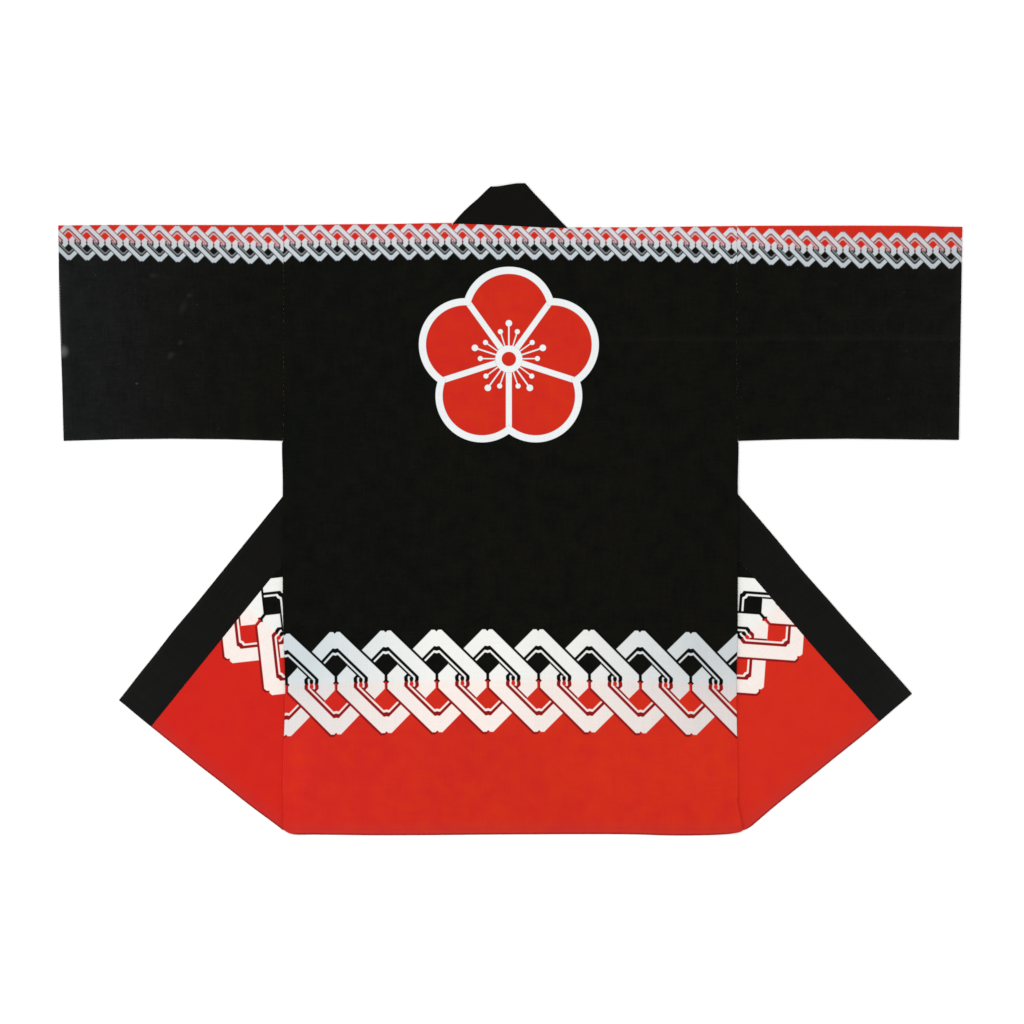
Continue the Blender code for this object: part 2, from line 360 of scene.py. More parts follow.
# Pale scuffs on the left sleeve: the place, half the length and half the width, the turn, and how pale
SCUFFS = (
    ((-0.5000, 0.3260), (0.0090, 0.0050), 0.0, 1.3),
    ((-0.4588, 0.2814), (0.0150, 0.0072), 1.2, 1.2),
    ((-0.4497, 0.2982), (0.0064, 0.0042), 0.3, 1.6),
    ((-0.4773, 0.2128), (0.0094, 0.0064), 0.9, 1.8),
    ((-0.4636, 0.2310), (0.0068, 0.0052), 0.8, 1.6),
    ((-0.5262, 0.1736), (0.0032, 0.0024), 0.0, 5.0),
    ((-0.6296, 0.2205), (0.0105, 0.0120), 0.0, 10.0),
)

# The flower printed on the back: its middle, and its parts
FLOWER_PLACE = (-0.002, 0.210)
PETALS = 5
PETAL_REACH = 0.064
PETAL_RADIUS = 0.055
FLOWER_OUTLINE = 0.010
PETAL_GAP = 0.0042
FLOWER_HEART = 0.019
HEART_RING = 0.0045
STAMENS = (
    {"lean": 0.0, "length": 0.050, "width": 0.0011, "dot": 0.0046},
    {"lean": 0.30, "length": 0.040, "width": 0.0009, "dot": 0.0036},
)
PRINT_SOFTNESS = 0.0006

# The lamps and the table
LAMPS = (
    {"name": "overhead", "place": (-0.6, 0.8, 4.2), "size": 3.2, "power": 57.0},
    {"name": "left_side", "place": (-3.2, -1.2, 2.2), "size": 1.8, "power": 18.0},
)
SKY_STRENGTH = 0.95
TABLE_SIZE = 6.0
TABLE_DROP = 0.0003
TABLE_WHITE = (0.93, 0.93, 0.93)

# Where the camera hangs, straight above the coat, and its lens
CAMERA_AIM = (0.0024, -0.0042)
CAMERA_HEIGHT = 3.982
CAMERA_LENS = 100.0


# Cloth: cutting, folding and laying


def flat_cut(outline, height, outer_up):
    """The piece as it is cut, spread out flat, each point marked with its place on the cloth."""
    bm = bmesh.new()
    mark = bm.verts.layers.float_vector.new("cloth")
    for x, y in outline:
        vert = bm.verts.new((x, y, height))
        vert[mark] = (x, y, 0.0)
    bm.faces.new(list(bm.verts))
    bm.normal_update()
    turn_outer(bm, outer_up)
    return bm


def turn_outer(bm, outer_up):
    """Turns the faces over where the topmost one doesn't show the cloth's outer side as asked."""
    bm.normal_update()
    top = max(bm.faces, key=lambda face: (round(face.calc_center_median().z, 6), face.calc_area()))
    if (top.normal.z > 0) != outer_up:
        bmesh.ops.reverse_faces(bm, faces=list(bm.faces))


def cut(bm, point, normal, where=None, snap=TINY):
    """Divides the faces that lie in one place along a straight line."""
    faces = [f for f in bm.faces if where is None or all(where(v.co) for v in f.verts)]
    edges = dict.fromkeys(e for f in faces for e in f.edges)
    verts = dict.fromkeys(v for f in faces for v in f.verts)
    bmesh.ops.bisect_plane(bm, geom=[*faces, *edges, *verts], dist=snap, plane_co=point, plane_no=normal)


def fold_under(bm, point, past, where=None):
    """Folds what lies past a crease back under the rest, where it lies mirrored, one layer lower."""
    for step in range(FOLD_STEPS + 1):
        offset = HALF_TURN * (2 * step / FOLD_STEPS - 1)
        cut(bm, point + past * offset, past, where)
    for vert in bm.verts:
        distance = (vert.co - point).dot(past)
        if distance < TINY - HALF_TURN or (where and not where(vert.co)):
            continue
        turned = min((distance + HALF_TURN) / FOLD_RADIUS, math.pi)
        turned_back = max(distance - HALF_TURN, 0.0)
        placed = FOLD_RADIUS * math.sin(turned) - HALF_TURN - turned_back
        vert.co += past * (placed - distance)
        vert.co.z -= FOLD_RADIUS * (1 - math.cos(turned))


def crease(side):
    """A point on a front's crease, and the direction from it towards the middle of the back."""
    sign, slant = side["sign"], side["slant"]
    point = Vector((sign * (HALF_NECK - BAND_WIDTH), SHOULDER - side["crease_drop"], 0))
    return point, Vector((-sign * math.cos(slant), -math.sin(slant), 0))


def outer_edge(side):
    """A point on the edge of the folded band, and the direction away from the coat's middle."""
    sign, slant = side["sign"], side["slant"]
    point, _ = crease(side)
    return point, Vector((sign * math.cos(2 * slant), math.sin(2 * slant), 0))


def along_curve(rows, distance):
    """Reads a value from pairs of distance and value, on a smooth curve through them."""
    if distance <= rows[0][0]:
        return rows[0][1]
    if distance >= rows[-1][0]:
        return rows[-1][1]
    slopes = [0.0]
    for before, after in zip(rows, rows[2:]):
        slopes.append((after[1] - before[1]) / (after[0] - before[0]))
    slopes.append(0.0)
    at = max(i for i in range(len(rows) - 1) if rows[i][0] <= distance)
    (near, low), (far, high) = rows[at], rows[at + 1]
    span = far - near
    t = (distance - near) / span
    rising = (2 * t - 3) * t * t + 1
    leaning = ((t - 2) * t + 1) * t * slopes[at] + (t - 1) * t * t * slopes[at + 1]
    return rising * low + (1 - rising) * high + span * leaning


def beyond(line, place):
    """How far a place is past a line."""
    point, normal = line
    return (place - point).dot(normal)


OUTER_EDGES = [outer_edge(side) for side in SIDES.values()]
INNER_CREASES = [crease(side) for side in SIDES.values()]


def lift(flat):
    """How far the folded fronts hold up what lies on them."""
    return along_curve(OUTER_SLOPE, max(beyond(line, flat) for line in OUTER_EDGES))


def share_of_height(flat):
    """How much of its height the top layer keeps, past both creases."""
    return along_curve(INNER_SLOPE, min(beyond(line, flat) for line in INNER_CREASES))


def crease_rise(row, place):
    """How far one soft crease lifts the cloth at a place."""
    start, end, height, width, bow = row
    start = Vector(start)
    run = Vector(end) - start
    along = (place - start).dot(run) / run.length_squared
    if not 0.0 < along < 1.0:
        return 0.0
    side = Vector((-run.y, run.x)).normalized()
    across = (place - start).dot(side) - bow * 4 * along * (1 - along)
    if abs(across) >= width:
        return 0.0
    profile = (1 + math.cos(math.pi * across / width)) / 2
    return height * profile * math.sin(math.pi * along) ** 1.5


def rumple(bm):
    """Gives every layer at a place the same soft creases, so that the layers stay apart."""
    for vert in bm.verts:
        place = vert.co.xy
        across = math.sin(math.tau * place.x / SWELL_ACROSS + SWELL_START)
        swell = 1 + across * math.cos(math.tau * place.y / SWELL_ALONG)
        vert.co.z += SWELL_HEIGHT * swell / 2 + sum(crease_rise(row, place) for row in CREASES)


def fade(distance, full, end):
    """One up to a distance, nothing from another one on, smooth between them."""
    left = min(max((end - distance) / (end - full), 0.0), 1.0)
    return left * left * (3 - 2 * left)


def stray(bm, name):
    """Draws the layers at a place along the table, so that no fold or edge is ruler-straight."""
    mark = bm.verts.layers.float_vector["cloth"]
    for vert in bm.verts:
        place = vert.co.xy
        shift = Vector((0.0, 0.0))
        for middle, pull, reach in (*PULLS, *OWN_PULLS.get(name, ())):
            shift += Vector(pull) * fade((place - Vector(middle)).length, 0.0, reach)
        near_shoulder = fade(abs(place.y - SHOULDER), STRAY_FULL, SHOULDER_STRAY_END)
        near_hem = fade(place.y - HEM, STRAY_FULL, HEM_STRAY_END)
        up = along_curve(SHOULDER_STRAY, place.x) * near_shoulder
        down = along_curve(HEM_STRAY, place.x) * near_hem
        vert.co.xy = place + shift + Vector((0.0, up - down))
        vert[mark] = vert[mark] + Vector((0.0, up, 0.0))


def own_half(side, below=math.inf):
    """Tells whether a place is in one side's half of the coat, and below a height."""
    return lambda place: place.x * side["sign"] > -TINY and place.y < below


def cut_slopes(bm, names, inner):
    """Divides a piece along the lines where the layers under it bend."""
    cut(bm, Vector((0, 0, 0)), Vector((1, 0, 0)))
    for name in names:
        side = SIDES[name]
        lines = [outer_edge(side)]
        if inner:
            lines.append(crease(side))
        for point, normal in lines:
            for step in range(SLOPE_CUTS):
                distance = SLOPE_START + (SLOPE_END - SLOPE_START) * step / (SLOPE_CUTS - 1)
                cut(bm, point + normal * distance, normal, own_half(side), GRID_SNAP)


def cut_grid(bm):
    """Divides a piece finely and evenly, so that it can bend anywhere."""
    for axis in (0, 1):
        low = min(vert.co[axis] for vert in bm.verts)
        high = max(vert.co[axis] for vert in bm.verts)
        normal = Vector((1 - axis, axis, 0))
        for step in range(math.ceil(low / GRID), math.floor(high / GRID) + 1):
            cut(bm, normal * (step * GRID), normal, snap=GRID_SNAP)


def flattened(flat):
    """How much of their height the layers keep, near the lower ends of the body's sides."""
    near_side = fade(abs(abs(flat.x) - HALF_BODY), FLATTENED_FULL, FLATTENED_END)
    return 1 - (1 - FLATTENED) * near_side * fade(flat.y, *FLATTENED_BELOW)


def settle(bm, doubled=False):
    """Lets a piece down onto what lies under it."""
    for vert in bm.verts:
        flat = Vector((vert.co.x, vert.co.y, 0))
        held = lift(flat)
        if doubled:
            held = max(held, 0.0)
        height = vert.co.z - LAYER + held
        lowest = CLOTH / 2
        vert.co.z = lowest + (height - lowest) * share_of_height(flat) * flattened(flat)


def shown_object(name, data):
    """A new object in the scene."""
    made = bpy.data.objects.new(name, data)
    bpy.context.scene.collection.objects.link(made)
    return made


def piece(name, bm, wall, outside, inside, slot, **sheet):
    """One cloth piece: its middle surface, given a wall half to each side, in place of its CAD node."""
    rumple(bm)
    stray(bm, name)
    bmesh.ops.remove_doubles(bm, verts=bm.verts, dist=TINY * 10)
    mesh = bpy.data.meshes.new(name)
    bm.to_mesh(mesh)
    bm.free()
    mesh.shade_smooth()
    mesh.materials.append(outside)
    mesh.materials.append(inside)
    made = shown_object(f"{name}_cloth", mesh)
    solid =made.modifiers.new("Wall", "SOLIDIFY")
    solid.thickness = wall
    solid.offset = 0.0
    solid.use_even_offset = True
    solid.use_quality_normals = True
    solid.material_offset = 1
    bpy.context.view_layer.update()
    shown = made.evaluated_get(bpy.context.evaluated_depsgraph_get())
    walled = bpy.data.meshes.new_from_object(shown)
    made.modifiers.clear()
    made.data = walled
    walled.set_sharp_from_angle(angle=SHARP_EDGE)
    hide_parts(name)
    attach(made, "root")
    return made


# The pieces


def hem_corner(sign, near_x, *, radius, rise):
    """The rounded lower corner of a panel, from its hem to its side."""
    points = []
    for step in range(CORNER_STEPS + 1):
        angle = math.pi / 2 * step / CORNER_STEPS
        x = near_x - radius * (1 - math.sin(angle))
        points.append((sign * x, HEM + rise * (1 - math.cos(angle))))
    return points


def crease_meets_side(side):
    """The height at which the crease reaches the front's side."""
    point, _ = crease(side)
    run = FRONT_SIDE - abs(point.x)
    return max(point.y - run / math.tan(side["slant"]), HEM)


def crease_reach(side, height):
    """How far from the coat's middle the crease is at a height."""
    point, _ = crease(side)
    return abs(point.x) + (point.y - height) * math.tan(side["slant"])


def side_seam_end(side):
    """Where the side seam stops, a little above the place where the crease crosses it."""
    return crease_meets_side(side) + SIDE_SLIT


def back_half(name):
    """Half of the back's outline, from the middle of the hem to the middle of the neck."""
    side, corner = SIDES[name], BACK_CORNERS[name]
    sign = side["sign"]
    seam_end = side_seam_end(side)
    return [
        *hem_corner(sign, corner["reach"], radius=corner["radius"], rise=corner["rise"]),
        (sign * ARMHOLE, seam_end),
        (sign * (HALF_BODY + RETURN), seam_end),
        (sign * (HALF_BODY + RETURN), UNDERARM - FLAP_END),
        (sign * ARMHOLE, UNDERARM - FLAP_END),
        (sign * ARMHOLE, NECK_SEAM),
        (sign * (ARMHOLE - FLAP_END), NECK_SEAM),
        (sign * (ARMHOLE - FLAP_END), SHOULDER + RETURN),
        (sign * (HALF_NECK + FLAP_END), SHOULDER + RETURN),
        (sign * (HALF_NECK + FLAP_END), NECK_SEAM - NECK_EASE),
        (sign * (HALF_NECK - 2 * NECK_EASE), NECK_SEAM),
    ]


def back_panel(outside, inside):
    """The back: its sides and shoulders turn under to meet the fronts."""
    outline = [*back_half("right"), *reversed(back_half("left"))]
    bm = flat_cut(outline, TOP, outer_up=True)
    fold_under(bm, Vector((0, SHOULDER, 0)), Vector((0, 1, 0)))
    for side in SIDES.values():
        out = Vector((side["sign"], 0, 0))
        seam_end = side_seam_end(side)
        cut(bm, Vector((0, seam_end, 0)), Vector((0, 1, 0)))
        fold_under(bm, out * HALF_BODY, out, where=lambda place: place.y > seam_end - TINY)
    cut_slopes(bm, list(SIDES), inner=True)
    cut_grid(bm)
    settle(bm)
    sheet = {
        "flat": (BODY_WIDTH + 2 * RETURN, BODY_LENGTH + RETURN),
        "held": "laid",
        "rests_on": ["collar_band_cloth", "front_left_cloth", "front_right_cloth", "floor"],
    }
    return piece("back_panel", bm, SHOWN_CLOTH, outside, inside, "printed_cotton", **sheet)


def front(name, outside, inside):
    """A front, from the shoulder to the hem, folded out along its crease."""
    side, corner = SIDES[name], FRONT_CORNERS[name]
    sign = side["sign"]
    neck_edge = HALF_NECK + BAND_SEAM
    corner_reach = crease_reach(side, HEM + corner["rise"]) + PAST_CREASE
    outline = [
        (sign * neck_edge, FRONT_SHOULDER),
        (sign * ARMHOLE, FRONT_SHOULDER),
        (sign * ARMHOLE, UNDERARM),
        (sign * FRONT_SIDE, UNDERARM),
        (sign * FRONT_SIDE, crease_meets_side(side) + PAST_CREASE * 3),
        *reversed(hem_corner(sign, corner_reach, **corner)),
        (sign * neck_edge, HEM),
    ]
    bm = flat_cut(outline, MIDDLE, outer_up=False)
    fold_under(bm, *crease(side))
    cut_slopes(bm, [name], inner=False)
    cut_grid(bm)
    settle(bm)
    sheet = {"flat": (ARMHOLE - neck_edge, FRONT_SHOULDER - HEM), "held": "folded", "rests_on": ["floor"]}
    return piece(f"front_{name}", bm, SHOWN_CLOTH, outside, inside, "printed_cotton", **sheet)


def collar_band(outside):
    """The band: one strip round the back of the neck and down both fronts to the hem."""
    start = NECK_SEAM + SEAM
    half_length = HALF_NECK + start - HEM
    end = start + BAND_WIDTH
    outline = [(-half_length, start), (half_length, start), (half_length, end), (-half_length, end)]
    bm = flat_cut(outline, TOP, outer_up=True)
    for side in SIDES.values():
        sign = side["sign"]
        past = Vector((sign, 1, 0)).normalized()
        fold_under(bm, Vector((sign * HALF_NECK, start, 0)), past)
    cut(bm, Vector((0, NECK_SEAM, 0)), Vector((0, 1, 0)))
    for side in SIDES.values():
        fold_under(bm, *crease(side), where=own_half(side, below=NECK_SEAM + TINY))
    cut_slopes(bm, list(SIDES), inner=True)
    cut_grid(bm)
    settle(bm, doubled=True)
    sheet = {"flat": (BAND_WIDTH, 2 * half_length), "held": "folded", "rests_on": ["floor"]}
    return piece("collar_band", bm, SHOWN_BAND, outside, outside, "band_cotton", **sheet)


def sleeve_ring():
    """The flattened tube's section, as rows of depth below the shoulder and height."""
    lower, upper = CLOTH / 2, CLOTH / 2 + LAYER
    near = CLOTH / 2 + FOLD_RADIUS
    far = SLEEVE_DROP - near
    ring = []
    for depth, turn in ((near, -1), (far, 1)):
        for step in range(FOLD_STEPS + 1):
            angle = math.pi * step / FOLD_STEPS
            if turn > 0:
                angle = math.pi - angle
            y = depth + turn * FOLD_RADIUS * math.sin(angle)
            z = (lower + upper) / 2 - FOLD_RADIUS * math.cos(angle)
            ring.append((y, z))
    return ring


def sleeve(name, outside, inside):
    """A sleeve: a flattened tube, folded along the shoulder and sewn shut along its lower edge."""
    sign = SIDES[name]["sign"]
    ring = sleeve_ring()
    seam_x = ARMHOLE + SEAM
    length = CUFF_TO_CUFF / 2 - seam_x
    bm = bmesh.new()
    mark = bm.verts.layers.float_vector.new("cloth")
    bmesh.ops.create_grid(bm, x_segments=len(ring), y_segments=SLEEVE_STEPS, size=1)
    for vert in bm.verts:
        around = round((vert.co.x + 1) / 2 * len(ring))
        along = round((vert.co.y + 1) / 2 * SLEEVE_STEPS) / SLEEVE_STEPS
        depth, height = ring[around % len(ring)]
        down = depth / SLEEVE_DROP
        bow = LOWER_EDGE_BOW * 4 * along * (1 - along)
        x = seam_x + along * (length - CUFF_SLANT[name] * down)
        vert.co = Vector((sign * x, SHOULDER - depth + bow * down, height))
        vert[mark] = (sign * (seam_x + along * length), SHOULDER - depth, 0.0)
    turn_outer(bm, outer_up=True)
    cut_grid(bm)
    sheet = {"flat": (2 * SLEEVE_DROP, length), "held": "laid", "rests_on": ["floor"]}
    return piece(f"sleeve_{name}", bm, SHOWN_CLOTH, outside, inside, "printed_cotton", **sheet)


# Materials


class Value:
    """A socket's value. Sums and products of values add Math nodes to the material."""

    def __init__(self, finish, socket):
        self.finish = finish
        self.socket = socket

    def math(self, operation, *others, clamp=False):
        return self.finish.math(operation, self, *others, clamp=clamp)

    def __add__(self, other):
        return self.math("ADD", other)

    def __sub__(self, other):
        return self.math("SUBTRACT", other)

    def __rsub__(self, other):
        return self.finish.math("SUBTRACT", other, self)

    def __mul__(self, other):
        return self.math("MULTIPLY", other)

    __radd__ = __add__
    __rmul__ = __mul__

    def __truediv__(self, other):
        return self.math("DIVIDE", other)

    def __neg__(self):
        return self.math("MULTIPLY", -1.0)

    def __abs__(self):
        return self.math("ABSOLUTE")

    def at_least(self, other):
        return self.math("MAXIMUM", other)

    def at_most(self, other):
        return self.math("MINIMUM", other)

    def clipped(self):
        """The value kept between nothing and one."""
        return self.at_least(0.0).at_most(1.0)

    def within(self, softness):
        """One where a distance is below zero, nothing where it is above, soft in between."""
        return self.math("MULTIPLY_ADD", -1.0 / softness, 0.5, clamp=True)


class Finish:
    """A material and its nodes."""

    def __init__(self, name):
        self.material = bpy.data.materials.new(name)
        self.material.use_nodes = True
        self.tree = self.material.node_tree
        self.tree.nodes.clear()

    def feed(self, socket, value):
        if isinstance(value, Value):
            self.tree.links.new(value.socket, socket)
        elif isinstance(value, tuple) and len(value) == 3 and socket.type == "RGBA":
            socket.default_value = (*value, 1.0)
        else:
            socket.default_value = value

    def add(self, kind, settings=None, sockets=None, output=0):
        """Adds any node: its settings first, then the values or links of its sockets."""
        node = self.tree.nodes.new(kind)
        for name, value in (settings or {}).items():
            setattr(node, name, value)
        for name, value in (sockets or {}).items():
            self.feed(node.inputs[name], value)
        return Value(self, node.outputs[output]) if node.outputs else None

    def math(self, operation, *values, clamp=False):
        settings = {"operation": operation, "use_clamp": clamp}
        return self.add("ShaderNodeMath", settings, dict(enumerate(values)))

    def mix(self, share, under, over):
        """One colour over another."""
        sockets = {0: share, 6: under, 7: over}
        return self.add("ShaderNodeMix", {"data_type": "RGBA"}, sockets, output=2)

    def scale(self, colour, factor):
        """A colour made lighter or darker."""
        sockets = {0: colour, "Scale": factor}
        return self.add("ShaderNodeVectorMath", {"operation": "SCALE"}, sockets)

    def tinge(self, colour, tint):
        """A colour with each of its parts made lighter or darker."""
        return self.add("ShaderNodeVectorMath", {"operation": "MULTIPLY"}, {0: colour, 1: tint})

    def cloth(self):
        """The place on the cloth, across and along it."""
        marked = self.add("ShaderNodeAttribute", {"attribute_name": "cloth"}, output=1)
        split = self.add("ShaderNodeSeparateXYZ", {}, {0: marked})
        return split, Value(self, split.socket.node.outputs[1])

    def noise(self, across, along, detail=2.0, roughness=0.5):
        """Noise from nothing to one, on coordinates in its own units."""
        place = self.add("ShaderNodeCombineXYZ", {}, {0: across, 1: along})
        sockets = {"Vector": place, "Scale": 1.0, "Detail": detail, "Roughness": roughness}
        return self.add("ShaderNodeTexNoise", {}, sockets)

    def surface(self, colour, roughness, height):
        """The cloth's shader, with its bump from a height in metres."""
        normal = self.add("ShaderNodeBump", {}, {"Strength": 1.0, "Distance": 1.0, "Height": height})
        sockets = {
            "Base Color": colour,
            "Roughness": roughness,
            "Normal": normal,
            "Specular IOR Level": SPECULAR,
            "Sheen Weight": SHEEN,
            "Sheen Roughness": SHEEN_ROUGHNESS,
        }
        shader = self.add("ShaderNodeBsdfPrincipled", {}, sockets)
        self.add("ShaderNodeOutputMaterial", {}, {"Surface": shader})
        return self.material


def weave(finish, across, along):
    """Plain weave: the height of its threads, its slubs, and its broad tone."""
    turn = math.tau / WEAVE_PITCH
    threads = (across * turn).math("SINE") * (along * turn).math("SINE")
    weft = finish.noise(across * WEFT_LENGTHWISE, along * SLUB_CROSSWISE)
    warp = finish.noise(across * SLUB_CROSSWISE, along * WARP_LENGTHWISE)
    slubs = weft + warp - 1.0
    broad = finish.noise(across * BROAD_ACROSS, along * BROAD_ALONG, detail=3.0) - 0.5
    height = threads * WEAVE_HEIGHT + slubs * SLUB_HEIGHT
    return height, slubs, broad


def line_height(across, line):
    """The height of a slightly bent line at a place across the cloth."""
    base, slope, bend = line
    return across * slope + across * across * bend + base


def link_edges(across, height, link):
    """Distances to the outlines of one link, below zero inside them, in shares of the pitch."""
    side_notch = (LINK_NOTCH - height).at_least(0.0)
    tip_notch = (LINK_NOTCH - across).at_least(0.0)
    slanted = (across + height) * math.sqrt(0.5)
    edges = []
    for slant, side, tip, notch in link:
        past_side = side_notch * notch + across - side
        past_tip = tip_notch * notch + height - tip
        edges.append((slanted - slant * math.sqrt(0.5)).at_least(past_side).at_least(past_tip))
    return edges


def chain(along, above_line, pitch, link, softness):
    """A row of interlocked links: their silver bars, the silver line inside each, and the dark lines."""
    cell = ((above_line * CHAIN_LEAN + along) / pitch).math("FRACT")
    upper = above_line.math("GREATER_THAN", 0.0)
    height = abs(above_line) / pitch
    over_across = abs(cell + upper - 1.0)
    over = link_edges(over_across, height, link)
    under = link_edges(1.0 - over_across, height, link)
    o_outer, o_bar, o_line, o_hole = [edge.within(softness) for edge in over]
    u_outer, u_bar, u_line, u_hole = [edge.within(softness) for edge in under]
    over_solid = o_outer - o_hole
    under_solid = u_outer - u_hole
    outer_rim = (over[0] - OUTER_RIM).within(softness) - o_outer
    inner_rim = (o_hole - (over[3] + INNER_RIM).within(softness)) * under_solid
    rim = outer_rim + inner_rim
    clear = 1.0 - over_solid - rim
    bars = (o_outer - o_bar) + clear * (u_outer - u_bar)
    lines = (o_line - o_hole) + clear * (u_line - u_hole)
    dark = (o_bar - o_line) + rim + clear * (u_bar - u_line)
    return bars, lines, dark


def flower(across, up):
    """A five-petalled blossom: where it prints silver, and where it prints red."""
    radius = (across * across + up * up).math("SQRT")
    sector = math.tau / PETALS
    angle = across.math("ARCTAN2", up)
    turned = abs(((angle / sector + 0.5).math("FRACT") - 0.5) * sector)
    forward = radius * turned.math("COSINE")
    beside = radius * turned.math("SINE")
    reach = forward - PETAL_REACH
    petal = (reach * reach + beside * beside).math("SQRT") - PETAL_RADIUS
    flower_edge = petal.at_most(radius - PETAL_REACH)
    gap = radius * (sector / 2 - turned).math("SINE") - PETAL_GAP
    heart = radius - FLOWER_HEART
    heart_ring = abs(heart + HEART_RING) - HEART_RING
    silver_edge = abs(flower_edge - FLOWER_OUTLINE / 2) - FLOWER_OUTLINE / 2
    gap_line = gap.at_least(flower_edge)
    drawn = silver_edge.at_most(gap_line.at_least(-heart)).at_most(heart_ring)
    for row in STAMENS:
        leaned = abs(turned - row["lean"])
        out = radius * leaned.math("COSINE") - row["length"]
        off = radius * leaned.math("SINE")
        stem = (off - row["width"]).at_least(out).at_least(-heart)
        tip = (out * out + off * off).math("SQRT") - row["dot"]
        drawn = drawn.at_most(stem.at_most(tip))
    silver = drawn.within(PRINT_SOFTNESS)
    red = (1.0 - silver) * flower_edge.within(PRINT_SOFTNESS)
    return silver, red


def stitches(across, along, line, pitch=0.0036, length=0.0025, width=0.0005):
    """A row of stitches that runs along the cloth at one place across it."""
    off = abs(across - line) - width / 2
    step = (along / pitch).math("FRACT") - length / pitch
    return off.within(0.0003) * step.within(0.10)


def pressed_line_highlight(across, along):
    """A painted highlight along the faint line left by pressing, soft above and sharper below."""
    off = along - PRESSED_AT
    line = (1.0 - off / PRESSED_FADE_UP).at_most(off / PRESSED_FADE_DOWN + 1.0).at_least(0.0)
    return line * ((across - PRESSED_FROM) / PRESSED_FADE_IN).clipped()


def selvedge_specks(across, along):
    """Short pale threads along part of the left cuff."""
    near_cuff = (abs(across + CUFF_TO_CUFF / 2 - SPECK_INSET) - SPECK_HALF_WIDTH).within(0.0004)
    step = (along / SPECK_PITCH).math("FRACT") - SPECK_SHARE
    part = (abs(along - SPECKS_AT) - SPECKS_HALF).within(0.010)
    return near_cuff * step.within(0.2) * part


def scuffs(across, along):
    """How pale the scuffs make the cloth at a place."""
    pale = []
    for (x, y), (length, width), turn, tone in SCUFFS:
        cosine, sine = math.cos(turn), math.sin(turn)
        lengthwise = ((across - x) * cosine + (along - y) * sine) / length
        crosswise = ((along - y) * cosine - (across - x) * sine) / width
        spot = (1.0 - lengthwise * lengthwise - crosswise * crosswise).at_least(0.0)
        pale.append(spot * spot * tone)
    return sum(pale)


